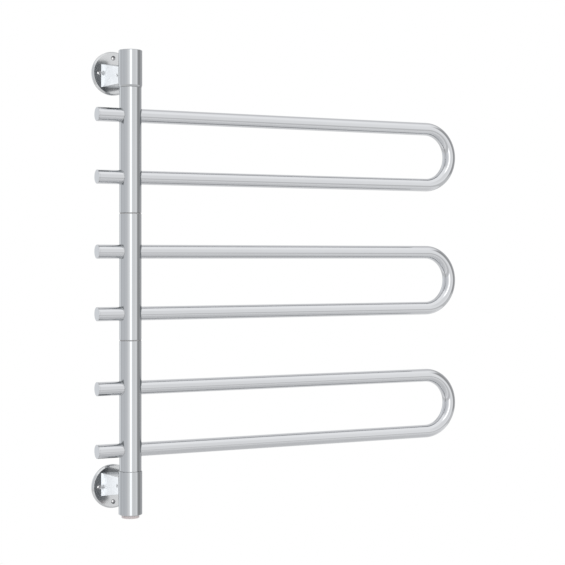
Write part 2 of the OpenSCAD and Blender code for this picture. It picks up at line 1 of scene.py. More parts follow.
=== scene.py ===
import math
import bmesh
import bpy
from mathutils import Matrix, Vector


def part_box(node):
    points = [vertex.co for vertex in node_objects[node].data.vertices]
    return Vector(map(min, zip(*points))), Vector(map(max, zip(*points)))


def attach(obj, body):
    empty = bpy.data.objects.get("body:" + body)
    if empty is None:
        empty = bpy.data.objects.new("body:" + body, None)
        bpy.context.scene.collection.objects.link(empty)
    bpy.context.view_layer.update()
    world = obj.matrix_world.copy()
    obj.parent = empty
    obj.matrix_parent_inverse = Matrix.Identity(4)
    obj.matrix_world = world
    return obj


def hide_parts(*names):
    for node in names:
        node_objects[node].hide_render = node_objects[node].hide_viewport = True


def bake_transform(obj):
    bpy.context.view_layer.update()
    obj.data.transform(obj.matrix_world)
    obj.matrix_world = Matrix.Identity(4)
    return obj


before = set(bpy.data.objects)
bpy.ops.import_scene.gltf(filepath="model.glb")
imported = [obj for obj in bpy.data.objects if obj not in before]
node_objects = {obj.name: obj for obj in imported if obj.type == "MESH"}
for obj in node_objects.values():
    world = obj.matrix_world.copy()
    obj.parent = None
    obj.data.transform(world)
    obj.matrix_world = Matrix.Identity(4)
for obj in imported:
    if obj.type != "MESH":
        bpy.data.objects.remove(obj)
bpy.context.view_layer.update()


# The camera stands level in front of the rail and to its left, a little over two and a half metres away.
# Its long lens takes in the whole rail from the wall flanges on the left to the bends on the right.
camera_data = bpy.data.cameras.new("camera")
camera_data.sensor_width = 36.0
camera_data.lens = 93.98
camera_data.shift_y = -0.0453
camera = bpy.data.objects.new("camera", camera_data)
camera.location = (-0.914, -2.457, 0.404)
camera.rotation_euler = (math.radians(90), 0, math.radians(-27.0))
bpy.context.scene.collection.objects.link(camera)
bpy.context.scene.camera = camera
bpy.context.scene.view_settings.view_transform = "Standard"


# A node is added to a tree with its settings and its inputs in one call. An input is a plain value or the
# output of another node, so each tree below reads from its first node to its last.
def add_node(tree, kind, inputs=None, **settings):
    made = tree.nodes.new(kind)
    for name, value in settings.items():
        setattr(made, name, value)
    for name, value in (inputs or {}).items():
        if isinstance(value, bpy.types.NodeSocket):
            tree.links.new(value, made.inputs[name])
        else:
            made.inputs[name].default_value = value
    return made


def math_node(tree, operation, *values, clamp=False):
    made = tree.nodes.new("ShaderNodeMath")
    made.operation = operation
    made.use_clamp = clamp
    for index, value in enumerate(values):
        if isinstance(value, bpy.types.NodeSocket):
            tree.links.new(value, made.inputs[index])
        else:
            made.inputs[index].default_value = value
    return made.outputs[0]


def smooth_step(tree, value, start, end):
    made = add_node(tree, "ShaderNodeMapRange", {"Value": value, "From Min": start, "From Max": end},
                    interpolation_type="SMOOTHSTEP")
    return made.outputs["Result"]


def mix_colors(tree, share, first, second):
    made = add_node(tree, "ShaderNodeMix", {0: share, 6: first, 7: second}, data_type="RGBA")
    return made.outputs[2]


# The studio is a white room with panels around the rail: a strip light just left of the front, grey screens
# further left, a dark flag on the right and a white backdrop behind. All of it is in the world. A row gives a
# bearing in degrees, 0 straight in front and 90 to the right, and how bright the studio is there.
studio_bearings = [
    (-180, (0.60, 0.61, 0.62)), (-172, (0.84, 0.86, 0.88)), (-160, (0.88, 0.90, 0.92)),
    (-156, (1.02, 1.04, 1.06)), (-140, (1.02, 1.04, 1.06)), (-136, (0.71, 0.72, 0.74)),
    (-124, (0.71, 0.72, 0.74)), (-110, (0.81, 0.82, 0.84)), (-98, (0.79, 0.80, 0.82)),
    (-85, (0.75, 0.76, 0.78)), (-73, (0.81, 0.82, 0.84)), (-60, (0.82, 0.83, 0.85)),
    (-51, (0.91, 0.91, 0.92)), (-41, (1.06, 1.06, 1.06)), (-29, (1.16, 1.16, 1.16)),
    (-23, (1.90, 1.90, 1.90)), (-9, (1.90, 1.90, 1.90)), (-4, (1.04, 1.04, 1.04)),
    (24, (1.02, 1.02, 1.02)), (36, (1.12, 1.12, 1.12)), (44, (1.14, 1.14, 1.14)),
    (58, (0.42, 0.42, 0.42)), (80, (0.41, 0.41, 0.41)), (92, (0.54, 0.54, 0.55)),
    (141, (0.60, 0.60, 0.61)), (165, (0.60, 0.60, 0.61)), (180, (0.60, 0.61, 0.62)),
]
brightest_panel = 2.5

# Light that reaches the eye by two mirrors, as between a flange and its arm, has these darker levels.
corner_bearings = [
    (-180, (0.33, 0.34, 0.35)), (-50, (0.33, 0.34, 0.35)), (-45, (1.90, 1.92, 1.94)),
    (-23, (1.90, 1.92, 1.94)), (-19, (0.33, 0.34, 0.35)), (10, (0.33, 0.34, 0.35)),
    (18, (0.56, 0.57, 0.58)), (45, (0.56, 0.57, 0.58)), (55, (0.33, 0.34, 0.35)), (180, (0.33, 0.34, 0.35)),
]
ceiling_front = (1.20, 1.20, 1.20, 1)
ceiling_back = (0.82, 0.82, 0.83, 1)
ceiling_turns = (110, 60)
ceiling_starts = (32, 44)
floor_level = (0.75, 0.75, 0.75, 1)
floor_starts = (-10, -14)
backdrop_left_edge = (168, 164)
backdrop_right_edge = (137, 142)
plain_white = (1, 1, 1, 1)
second_mirror_depth = 2.5
first_diffuse_depth = 0.5

world = bpy.data.worlds.new("studio")
world.use_nodes = True
world.cycles.sampling_method = "NONE"
bpy.context.scene.world = world
studio = world.node_tree
studio.nodes.clear()
ray = add_node(studio, "ShaderNodeTexCoord").outputs["Generated"]
ray_parts = add_node(studio, "ShaderNodeSeparateXYZ", {"Vector": ray})
ray_x, ray_y, ray_z = ray_parts.outputs
bearing = math_node(studio, "ARCTAN2", ray_x, math_node(studio, "MULTIPLY", ray_y, -1.0))
turn_share = math_node(studio, "MULTIPLY_ADD", bearing, 0.5 / math.pi, 0.5)
height = math_node(studio, "DEGREES", math_node(studio, "ARCSINE", ray_z))


def levels_by_bearing(rows):
    ramp = add_node(studio, "ShaderNodeValToRGB", {"Fac": turn_share})
    while len(ramp.color_ramp.elements) < len(rows):
        ramp.color_ramp.elements.new(0.5)
    for stop, (degrees, level) in zip(ramp.color_ramp.elements, rows):
        stop.position = degrees / 360 + 0.5
    for stop, (degrees, level) in zip(ramp.color_ramp.elements, rows):
        stop.color = [part / brightest_panel for part in level] + [1]
    return add_node(studio, "ShaderNodeVectorMath", {0: ramp.outputs["Color"], "Scale": brightest_panel},
                    operation="SCALE").outputs[0]


panel_light = levels_by_bearing(studio_bearings)
corner_light = levels_by_bearing(corner_bearings)
to_the_front = smooth_step(studio, math_node(studio, "ABSOLUTE", bearing), *map(math.radians, ceiling_turns))
ceiling = mix_colors(studio, to_the_front, ceiling_back, ceiling_front)
above = smooth_step(studio, height, *ceiling_starts)
with_ceiling = mix_colors(studio, above, panel_light, ceiling)
below = smooth_step(studio, height, *floor_starts)
with_floor = mix_colors(studio, below, with_ceiling, floor_level)

# The camera sees plain white all round. Metal and plastic see it too, where the backdrop stands.
light_path = add_node(studio, "ShaderNodeLightPath").outputs
backdrop_left = smooth_step(studio, bearing, *map(math.radians, backdrop_left_edge))
backdrop_right = smooth_step(studio, bearing, *map(math.radians, backdrop_right_edge))
backdrop_height = math_node(studio, "SUBTRACT", 1.0, math_node(studio, "MAXIMUM", above, below))
backdrop = math_node(studio, "MULTIPLY", math_node(studio, "MULTIPLY", backdrop_left, backdrop_right),
                     backdrop_height)
mirrored = math_node(studio, "ADD", light_path["Is Glossy Ray"], light_path["Is Transmission Ray"])
twice_mirrored = math_node(studio, "GREATER_THAN", light_path["Ray Depth"], second_mirror_depth)
never_scattered = math_node(studio, "LESS_THAN", light_path["Diffuse Depth"], first_diffuse_depth)
in_a_corner = math_node(studio, "MULTIPLY", twice_mirrored, never_scattered)
open_mirror = math_node(studio, "MULTIPLY", mirrored, math_node(studio, "SUBTRACT", 1.0, in_a_corner))
mirrored_backdrop = math_node(studio, "MULTIPLY", open_mirror, backdrop)
sees_white = math_node(studio, "ADD", light_path["Is Camera Ray"], mirrored_backdrop, clamp=True)
dimmed = mix_colors(studio, in_a_corner, with_floor, corner_light)
seen = mix_colors(studio, sees_white, dimmed, plain_white)
background = add_node(studio, "ShaderNodeBackground", {"Color": seen, "Strength": 1.0})
add_node(studio, "ShaderNodeOutputWorld", {"Surface": background.outputs[0]})


# The floor is a pale disc well under the rail, which hangs on its wall at hand height. It fades to white at
# its rim, so that it has no edge, and it keeps the rail's soft shadow. From below it is clear.
floor_centre = (0.3, -0.2, -0.9)
floor_radius = 2.4
floor_fade = (0.5, 2.3)
floor_tones = (0.78, 0.82)
floor_mesh = bpy.data.meshes.new("studio_floor")
floor_rings = bmesh.new()
bmesh.ops.create_circle(floor_rings, cap_ends=True, radius=floor_radius, segments=96)
bmesh.ops.translate(floor_rings, verts=floor_rings.verts, vec=floor_centre)
floor_rings.to_mesh(floor_mesh)
floor_rings.free()
studio_floor = bpy.data.objects.new("studio_floor", floor_mesh)
bpy.context.scene.collection.objects.link(studio_floor)
floor_paint = bpy.data.materials.new("floor_paint")
floor_paint.use_nodes = True
paint = floor_paint.node_tree
paint.nodes.clear()
floor_place = add_node(paint, "ShaderNodeTexCoord").outputs["Object"]
from_centre = add_node(paint, "ShaderNodeVectorMath", {0: floor_place, 1: floor_centre},
                       operation="DISTANCE").outputs["Value"]
to_rim = smooth_step(paint, from_centre, *floor_fade)
floor_fleck = add_node(paint, "ShaderNodeTexNoise", {"Vector": floor_place, "Scale": 6.0, "Detail": 4.0})
floor_tone = add_node(paint, "ShaderNodeMapRange", {
    "Value": floor_fleck.outputs["Fac"], "To Min": floor_tones[0], "To Max": floor_tones[1]}).outputs[0]
floor_grey = add_node(paint, "ShaderNodeCombineColor", {0: floor_tone, 1: floor_tone, 2: floor_tone})
floor_matt = add_node(paint, "ShaderNodeBsdfDiffuse", {"Color": floor_grey.outputs[0]})
floor_white = add_node(paint, "ShaderNodeEmission", {"Color": plain_white, "Strength": 1.0})
floor_mix = add_node(paint, "ShaderNodeMixShader", {
    0: to_rim, 1: floor_matt.outputs[0], 2: floor_white.outputs[0]})
from_below = add_node(paint, "ShaderNodeNewGeometry").outputs["Backfacing"]
floor_clear = add_node(paint, "ShaderNodeBsdfTransparent")
open_floor = add_node(paint, "ShaderNodeMixShader", {
    0: from_below, 1: floor_mix.outputs[0], 2: floor_clear.outputs[0]})
add_node(paint, "ShaderNodeOutputMaterial", {"Surface": open_floor.outputs[0]})
floor_mesh.materials.append(floor_paint)


# The two wall flanges are round bevelled plates, turned from steel and polished, screwed flat to the wall.
# Polishing leaves hair-fine lines, a slight cloudiness and a rounded edge on every steel piece of the rail.
def new_group(name, inputs, outputs):
    group = bpy.data.node_groups.new(name, "ShaderNodeTree")
    for label, kind, value in inputs:
        socket = group.interface.new_socket(name=label, in_out="INPUT", socket_type=kind)
        socket.default_value = value
    for label, kind in outputs:
        group.interface.new_socket(name=label, in_out="OUTPUT", socket_type=kind)
    return group, group.nodes.new("NodeGroupInput").outputs, group.nodes.new("NodeGroupOutput").inputs


polish_group, given, result = new_group(
    "polished_metal",
    [("Vector", "NodeSocketVector", (0, 0, 0)), ("Metal Color", "NodeSocketColor", (0.6, 0.6, 0.6, 1)),
     ("Line Direction", "NodeSocketVector", (1, 1, 1)), ("Cloud Size", "NodeSocketFloat", 30.0),
     ("Cloud Depth", "NodeSocketFloat", 0.03), ("Roughness", "NodeSocketFloat", 0.08),
     ("Line Depth", "NodeSocketFloat", 0.03)],
    [("Color", "NodeSocketColor"), ("Roughness", "NodeSocketFloat"), ("Height", "NodeSocketFloat")])
stretched = add_node(polish_group, "ShaderNodeVectorMath", {0: given["Vector"], 1: given["Line Direction"]},
                     operation="MULTIPLY").outputs[0]
lines = add_node(polish_group, "ShaderNodeTexNoise", {"Vector": stretched, "Scale": 1.0, "Detail": 3.0,
                                                      "Roughness": 0.6}).outputs["Fac"]
clouds = add_node(polish_group, "ShaderNodeTexNoise", {
    "Vector": given["Vector"], "Scale": given["Cloud Size"], "Detail": 4.0, "Distortion": 0.6}).outputs["Fac"]
centred_lines = math_node(polish_group, "SUBTRACT", lines, 0.5)
centred_clouds = math_node(polish_group, "SUBTRACT", clouds, 0.5)
tone = math_node(polish_group, "ADD", math_node(polish_group, "MULTIPLY", centred_lines, given["Line Depth"]),
                 math_node(polish_group, "MULTIPLY_ADD", centred_clouds, given["Cloud Depth"], 1.0))
toned = add_node(polish_group, "ShaderNodeVectorMath", {0: given["Metal Color"], "Scale": tone},
                 operation="SCALE")
cloud_wear = 0.9
line_wear = 0.5
rubbed = math_node(polish_group, "MULTIPLY_ADD", centred_clouds, cloud_wear, 1.0)
lined = math_node(polish_group, "MULTIPLY_ADD", centred_lines, line_wear, rubbed)
polish_group.links.new(toned.outputs[0], result["Color"])
polish_group.links.new(math_node(polish_group, "MULTIPLY", given["Roughness"], lined), result["Roughness"])
polish_group.links.new(lines, result["Height"])


def new_material(name):
    material = bpy.data.materials.new(name)
    material.use_nodes = True
    tree = material.node_tree
    tree.nodes.clear()
    place = add_node(tree, "ShaderNodeTexCoord").outputs["Object"]
    return material, tree, place


def finish_material(tree, finish, bump_height, settings):
    bump = add_node(tree, "ShaderNodeBump", {
        "Height": finish["Height"], "Distance": bump_height, "Strength": 1.0})
    shader = add_node(tree, "ShaderNodeBsdfPrincipled", {
        "Base Color": finish["Color"], "Roughness": finish["Roughness"], "Normal": bump.outputs[0],
        **settings})
    add_node(tree, "ShaderNodeOutputMaterial", {"Surface": shader.outputs[0]})


# A painted reflection colour, where given, replaces the piece's own colour for glossy rays only: in a
# polished neighbour the piece shows in this painted colour, not as it is lit.
def metal_material(name, color, roughness, line_direction, bump_height=0.000002, cloud_depth=0.03,
                   line_depth=0.03, cloud_size=30.0, painted_reflection_color=None):
    material, tree, place = new_material(name)
    finish = add_node(tree, "ShaderNodeGroup", node_tree=polish_group)
    tree.links.new(place, finish.inputs["Vector"])
    for label, value in (("Metal Color", (*color, 1)), ("Line Direction", line_direction),
                         ("Cloud Size", cloud_size), ("Cloud Depth", cloud_depth), ("Roughness", roughness),
                         ("Line Depth", line_depth)):
        finish.inputs[label].default_value = value
    settings = {"Metallic": 1.0}
    # Painted reflection: glossy rays see the given colour in place of the lit metal.
    if painted_reflection_color:
        glossy_sees_painted_reflection = add_node(tree, "ShaderNodeLightPath").outputs["Is Glossy Ray"]
        settings["Base Color"] = mix_colors(tree, glossy_sees_painted_reflection, finish.outputs["Color"],
                                            (*painted_reflection_color, 1))
    finish_material(tree, finish.outputs, bump_height, settings)
    return material


def dress(material, *names):
    for name in names:
        for slot in node_objects[name].material_slots:
            slot.material = material


def add_piece(name, mesh, material, body, slot, *nodes):
    mesh.name = name
    mesh.materials.clear()
    mesh.materials.append(material)
    piece = bpy.data.objects.new(name, mesh)
    bpy.context.scene.collection.objects.link(piece)
    if body:
        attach(piece, body)
    if nodes:
        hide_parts(*nodes)
    return piece


# A copy of a solid's mesh is merged, its flat faces are joined up, and its outer corners are rounded off.
merge_distance = 0.000002
flat_angle = 0.3


def softened(name, node, material, body, slot, edge, sharpest=28):
    mesh = node_objects[node].data.copy()
    if "custom_normal" in mesh.attributes:
        mesh.attributes.remove(mesh.attributes["custom_normal"])
    shell = bmesh.new()
    shell.from_mesh(mesh)
    bmesh.ops.remove_doubles(shell, verts=shell.verts, dist=merge_distance)
    bmesh.ops.dissolve_limit(shell, angle_limit=math.radians(flat_angle), verts=shell.verts,
                             edges=shell.edges)
    bmesh.ops.recalc_face_normals(shell, faces=shell.faces)
    corners = shell.edges.layers.float.new("bevel_weight_edge")
    for side in shell.edges:
        side.smooth = not side.is_manifold or side.calc_face_angle() < math.radians(sharpest)
        if side.is_manifold and side.is_convex and not side.smooth:
            side[corners] = 1.0
    for face in shell.faces:
        face.smooth = True
    shell.to_mesh(mesh)
    shell.free()
    piece = add_piece(name, mesh, material, body, slot, node)
    rounding = piece.modifiers.new("rounded_edges", "BEVEL")
    rounding.limit_method = "WEIGHT"
    rounding.width = edge
    rounding.segments = 3
    rounding.harden_normals = True
    return piece


mirror_bump = 0.0000004
flange_steel = metal_material("flange_polished_steel", (0.63, 0.64, 0.65), 0.14, (900, 60, 900),
                              cloud_depth=0.02, bump_height=mirror_bump)
# The flange holes' walls are darker, rougher steel, and glossy rays see them plain white: a painted
# reflection in the polished neighbours.
bored_steel_painted_reflection = metal_material("flange_bored_steel", (0.34, 0.34, 0.35), 0.40, (60, 900, 60), cloud_depth=0.10,
                             painted_reflection_color=(1.0, 1.0, 1.0))
flange_edge = 0.0004
countersink_r = 0.0042
wall_screw_spacing = 0.054
hole_slope = 0.95
for end, outward in (("lower", -1), ("upper", 1)):
    plate = softened(f"{end}_flange_plate", f"{end}_wall_flange", flange_steel, "bracket_frame",
                     "bracket_chrome", flange_edge)
    plate.data.materials.append(bored_steel_painted_reflection)
    low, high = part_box(f"{end}_wall_flange")
    plate_z = (low[2] + high[2]) / 2
    hole_places = [(-wall_screw_spacing / 2, plate_z), (wall_screw_spacing / 2, plate_z),
                   (0.0, plate_z + outward * wall_screw_spacing / 2)]
    for face in plate.data.polygons:
        beside = min(math.hypot(face.center.x - x, face.center.z - z) for x, z in hole_places)
        if beside < countersink_r and abs(face.normal.y) < hole_slope:
            face.material_index = 1


# Each arm is held from behind its flange by two countersunk screws with hexagon sockets, of plain steel.
# The same tree makes the grub screws, whose heads are no wider than their shanks.
def new_shape_tree(name, inputs):
    tree = bpy.data.node_groups.new(name, "GeometryNodeTree")
    for label, kind, value in inputs:
        socket = tree.interface.new_socket(name=label, in_out="INPUT", socket_type=kind)
        if value is not None:
            socket.default_value = value
    tree.interface.new_socket(name="Geometry", in_out="OUTPUT", socket_type="NodeSocketGeometry")
    return tree, tree.nodes.new("NodeGroupInput").outputs, tree.nodes.new("NodeGroupOutput").inputs


# Every tree ends the same way: its sharp edges stay crisp, then come the place and the material.
crisp_angle = 30


def finish_shape(tree, shape, place, turn, metal, result):
    smooth = add_node(tree, "GeometryNodeSetShadeSmooth", {"Geometry": shape, "Shade Smooth": True},
                      domain="FACE")
    bend = add_node(tree, "GeometryNodeInputMeshEdgeAngle").outputs["Unsigned Angle"]
    sharp = math_node(tree, "GREATER_THAN", bend, math.radians(crisp_angle))
    crisp = add_node(tree, "GeometryNodeSetShadeSmooth", {
        "Geometry": smooth.outputs[0], "Shade Smooth": False, "Selection": sharp}, domain="EDGE")
    placed = add_node(tree, "GeometryNodeTransform", {"Geometry": crisp.outputs[0], "Translation": place,
                                                      "Rotation": turn})
    real = add_node(tree, "GeometryNodeRealizeInstances", {"Geometry": placed.outputs[0]})
    finished = add_node(tree, "GeometryNodeSetMaterial", {"Geometry": real.outputs[0], "Material": metal})
    tree.links.new(finished.outputs[0], result["Geometry"])


def combine(tree, x, y, z):
    return add_node(tree, "ShaderNodeCombineXYZ", {"X": x, "Y": y, "Z": z}).outputs[0]


def mesh_from_tree(name, tree, sizes):
    carrier = bpy.data.objects.new(name + "_carrier", bpy.data.meshes.new(name + "_carrier"))
    bpy.context.scene.collection.objects.link(carrier)
    growth = carrier.modifiers.new("shape", "NODES")
    growth.node_group = tree
    for item in tree.interface.items_tree:
        if item.in_out == "INPUT" and item.name in sizes:
            growth[item.identifier] = sizes[item.name]
    bpy.context.view_layer.update()
    grown = carrier.evaluated_get(bpy.context.evaluated_depsgraph_get())
    mesh = bpy.data.meshes.new_from_object(grown)
    bpy.data.objects.remove(carrier)
    return mesh


screw_tree, given, result = new_shape_tree("socket_screw", [
    ("Head Radius", "NodeSocketFloat", 0.00475), ("Head Height", "NodeSocketFloat", 0.00225),
    ("Shank Radius", "NodeSocketFloat", 0.0025), ("Length", "NodeSocketFloat", 0.018),
    ("Socket Flats", "NodeSocketFloat", 0.003), ("Socket Depth", "NodeSocketFloat", 0.0025),
    ("Count", "NodeSocketInt", 2), ("Spacing", "NodeSocketFloat", 0.026),
    ("Place", "NodeSocketVector", (0, 0, 0)), ("Turn", "NodeSocketVector", (0, 0, 0)),
    ("Metal", "NodeSocketMaterial", None)])
screw_head = add_node(screw_tree, "GeometryNodeMeshCone", {
    "Vertices": 64, "Radius Bottom": given["Head Radius"], "Radius Top": given["Shank Radius"],
    "Depth": given["Head Height"]})
half_head = math_node(screw_tree, "MULTIPLY", given["Head Height"], 0.5)
shank_length = math_node(screw_tree, "SUBTRACT", given["Length"], half_head)
screw_shank = add_node(screw_tree, "GeometryNodeMeshCylinder", {
    "Vertices": 64, "Radius": given["Shank Radius"], "Depth": shank_length})
half_shank = math_node(screw_tree, "MULTIPLY", shank_length, 0.5)
shank_middle = math_node(screw_tree, "SUBTRACT", given["Length"], half_shank)
shank_placed = add_node(screw_tree, "GeometryNodeTransform", {
    "Geometry": screw_shank.outputs["Mesh"], "Translation": combine(screw_tree, 0.0, 0.0, shank_middle)})
whole_screw = add_node(screw_tree, "GeometryNodeMeshBoolean", operation="UNION", solver="EXACT")
screw_tree.links.new(screw_head.outputs["Mesh"], whole_screw.inputs["Mesh 2"])
screw_tree.links.new(shank_placed.outputs[0], whole_screw.inputs["Mesh 2"])
socket_radius = math_node(screw_tree, "DIVIDE", given["Socket Flats"], 2 * math.cos(math.radians(30)))
hexagon = add_node(screw_tree, "GeometryNodeMeshCylinder", {
    "Vertices": 6, "Radius": socket_radius,
    "Depth": math_node(screw_tree, "MULTIPLY", given["Socket Depth"], 2.0)})
socketed = add_node(screw_tree, "GeometryNodeMeshBoolean", {
    "Mesh 1": whole_screw.outputs["Mesh"], "Mesh 2": hexagon.outputs["Mesh"]},
    operation="DIFFERENCE", solver="EXACT")
screw_index = add_node(screw_tree, "GeometryNodeInputIndex").outputs[0]
last_index = math_node(screw_tree, "SUBTRACT", given["Count"], 1.0)
middle_index = math_node(screw_tree, "MULTIPLY", last_index, 0.5)
from_middle = math_node(screw_tree, "SUBTRACT", screw_index, middle_index)
screw_x = math_node(screw_tree, "MULTIPLY", from_middle, given["Spacing"])
screw_points = add_node(screw_tree, "GeometryNodePoints", {
    "Count": given["Count"], "Position": combine(screw_tree, screw_x, 0.0, 0.0)})
screws = add_node(screw_tree, "GeometryNodeInstanceOnPoints", {
    "Points": screw_points.outputs[0], "Instance": socketed.outputs["Mesh"]})
set_out = add_node(screw_tree, "GeometryNodeRealizeInstances", {"Geometry": screws.outputs[0]})
finish_shape(screw_tree, set_out.outputs[0], given["Place"], given["Turn"], given["Metal"], result)

screw_steel = metal_material("screw_plain_steel", (0.50, 0.50, 0.51), 0.22, (900, 900, 900), cloud_depth=0.10)
for end in ("lower", "upper"):
    low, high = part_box(f"{end}_arm_screws")
    middle_z = (low[2] + high[2]) / 2
    arm_screws = mesh_from_tree(f"{end}_arm_screw_pair", screw_tree, {
        "Place": (0.0, high[1], middle_z), "Turn": (math.radians(90), 0.0, 0.0), "Metal": screw_steel})
    add_piece(f"{end}_arm_screw_pair", arm_screws, screw_steel, "bracket_frame", "screw_steel",
              f"{end}_arm_screws")


# The two arms are square tapered blocks, cast, ground and plated bright. Each wraps the post's end, and a
# bright grub screw, level with its side, clamps the spigot inside it. The screw's threaded hole is unplated.
arm_edge = 0.0005
# Glossy rays see the arms dark grey, a painted reflection: in the polished flanges the arms show as painted
# shade, while seen directly they are bright.
arm_chrome_painted_reflection = metal_material("arm_bright_chrome_painted_reflection", (0.93, 0.95, 0.97), 0.30, (700, 60, 700), cloud_depth=0.01,
                            bump_height=0.0000005, painted_reflection_color=(0.22, 0.23, 0.24))
grub_steel = metal_material("grub_bright_steel", (0.90, 0.91, 0.92), 0.30, (900, 900, 900), cloud_depth=0.08)
tapped_steel = metal_material("arm_tapped_steel", (0.95, 0.96, 0.97), 0.50, (900, 60, 60), cloud_depth=0.10)
grub_hole_r = 0.0040
grub_hole_slope = 0.9
for end in ("lower", "upper"):
    arm_block = softened(f"{end}_arm_block", f"{end}_bracket_arm", arm_chrome_painted_reflection, "bracket_frame",
                         "bracket_chrome", arm_edge)
    arm_block.data.materials.append(tapped_steel)
    low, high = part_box(f"{end}_grub_screw")
    grub_y = (low[1] + high[1]) / 2
    grub_z = (low[2] + high[2]) / 2
    for face in arm_block.data.polygons:
        from_axis = math.hypot(face.center.y - grub_y, face.center.z - grub_z)
        if from_axis < grub_hole_r and face.center.x < high[0] and abs(face.normal.x) < grub_hole_slope:
            face.material_index = 1
    grub_screw = mesh_from_tree(f"{end}_clamp_screw", screw_tree, {
        "Head Radius": 0.00285, "Head Height": 0.0004, "Shank Radius": 0.00325, "Length": high[0] - low[0],
        "Socket Flats": 0.003, "Socket Depth": 0.003, "Count": 1,
        "Place": (low[0], grub_y, grub_z), "Turn": (0.0, math.radians(90), 0.0), "Metal": grub_steel})
    add_piece(f"{end}_clamp_screw", grub_screw, grub_steel, "bracket_frame", "screw_steel",
              f"{end}_grub_screw")


# The post is drawn steel tube in three sections, polished round and round. Its collar and cap are turned
# from the same steel, a little thicker, with their outer corners just broken.
lines_round_post = (60, 60, 1400)
polished_line_depth = 0.012
collar_edge = 0.0007
crisp_edge = 0.0002
post_steel = metal_material("post_polished_steel", (0.555, 0.57, 0.585), 0.07, lines_round_post,
                            bump_height=mirror_bump, line_depth=polished_line_depth)
# The collar's copy of the post's steel is a shade darker, which is painted shade.
collar_steel_painted_shade = metal_material("collar_polished_steel_painted_shade", (0.525, 0.541, 0.557), 0.07, lines_round_post,
                              bump_height=mirror_bump, line_depth=polished_line_depth)
dress(post_steel, "lower_sleeve", "middle_sleeve", "upper_sleeve")
softened("foot_collar", "bottom_collar", collar_steel_painted_shade, "bracket_frame", "post_steel", collar_edge)
softened("head_cap", "top_cap", post_steel, "bracket_frame", "post_steel", crisp_edge)


# The swivel joints are turned brass spindles, hubs and spigots, with moulded bushes and washers between them.
# Only the washers' edges show, as the thin dark seams of the post.
turned_brass = metal_material("turned_brass", (0.72, 0.53, 0.25), 0.20, (60, 60, 1800), cloud_depth=0.08)
dress(turned_brass, "lower_spigot", "upper_spigot", "collar_spindle", "cap_hub", "lower_spindle",
      "middle_spindle", "upper_spindle")

plastic_group, given, result = new_group(
    "moulded_plastic",
    [("Vector", "NodeSocketVector", (0, 0, 0)), ("Plastic Color", "NodeSocketColor", (0.6, 0.6, 0.6, 1)),
     ("Grain Size", "NodeSocketFloat", 2500.0), ("Tone Depth", "NodeSocketFloat", 0.05),
     ("Roughness", "NodeSocketFloat", 0.4)],
    [("Color", "NodeSocketColor"), ("Roughness", "NodeSocketFloat"), ("Height", "NodeSocketFloat")])
grain = add_node(plastic_group, "ShaderNodeTexNoise", {
    "Vector": given["Vector"], "Scale": given["Grain Size"], "Detail": 2.0}).outputs["Fac"]
flow = add_node(plastic_group, "ShaderNodeTexNoise", {
    "Vector": given["Vector"], "Scale": 120.0, "Detail": 3.0, "Distortion": 1.0}).outputs["Fac"]
centred_flow = math_node(plastic_group, "SUBTRACT", flow, 0.5)
centred_grain = math_node(plastic_group, "SUBTRACT", grain, 0.5)
flow_tone = math_node(plastic_group, "MULTIPLY_ADD", centred_flow, given["Tone Depth"], 1.0)
flow_color = add_node(plastic_group, "ShaderNodeVectorMath", {0: given["Plastic Color"], "Scale": flow_tone},
                      operation="SCALE").outputs[0]
grain_wear = 0.4
grain_share = math_node(plastic_group, "MULTIPLY_ADD", centred_grain, grain_wear, 1.0)
grain_roughness = math_node(plastic_group, "MULTIPLY", given["Roughness"], grain_share)
plastic_group.links.new(flow_color, result["Color"])
plastic_group.links.new(grain_roughness, result["Roughness"])
plastic_group.links.new(grain, result["Height"])


def plastic_material(name, color, roughness, bump_height=0.00001, tone_depth=0.05, grain_size=2500.0):
    material, tree, place = new_material(name)
    finish = add_node(tree, "ShaderNodeGroup", node_tree=plastic_group)
    tree.links.new(place, finish.inputs["Vector"])
    for label, value in (("Plastic Color", (*color, 1)), ("Grain Size", grain_size),
                         ("Tone Depth", tone_depth), ("Roughness", roughness)):
        finish.inputs[label].default_value = value
    finish_material(tree, finish.outputs, bump_height, {"Metallic": 0.0})
    return material


dress(plastic_material("bush_plastic", (0.78, 0.77, 0.73), 0.45), "lower_bush", "middle_bush", "upper_bush",
      "cap_bush")
dress(plastic_material("washer_plastic", (0.40, 0.40, 0.40), 0.5), "lower_washer", "middle_washer",
      "upper_washer", "collar_washer")


# Each loop is one polished steel tube, bent to a U and passed through its section of the post. Its two ends
# are closed by discs, and inside the post it has a hole in either leg for the heating element's leads.
loop_tree, given, result = new_shape_tree("bent_loop", [
    ("Tube Radius", "NodeSocketFloat", 0.012), ("Wall", "NodeSocketFloat", 0.0012),
    ("Bend Radius", "NodeSocketFloat", 0.053), ("Bend Centre", "NodeSocketFloat", 0.5955),
    ("Leg Start", "NodeSocketFloat", -0.059), ("Lead Hole Radius", "NodeSocketFloat", 0.0022),
    ("Lead Hole Drop", "NodeSocketFloat", 0.0075), ("Place", "NodeSocketVector", (0, 0, 0)),
    ("Metal", "NodeSocketMaterial", None)])
bend_steps = 48
straight = add_node(loop_tree, "GeometryNodeCurvePrimitiveLine")
stepped = add_node(loop_tree, "GeometryNodeResampleCurve", {
    "Curve": straight.outputs[0], "Count": bend_steps + 3})
step_index = add_node(loop_tree, "GeometryNodeInputIndex").outputs[0]
bend_index = math_node(loop_tree, "SUBTRACT", step_index, 1.0)
bend_share = math_node(loop_tree, "DIVIDE", bend_index, bend_steps, clamp=True)
bend_turn = math_node(loop_tree, "MULTIPLY", bend_share, math.pi)
bend_x = math_node(loop_tree, "MULTIPLY_ADD", math_node(loop_tree, "SINE", bend_turn), given["Bend Radius"],
                   given["Bend Centre"])
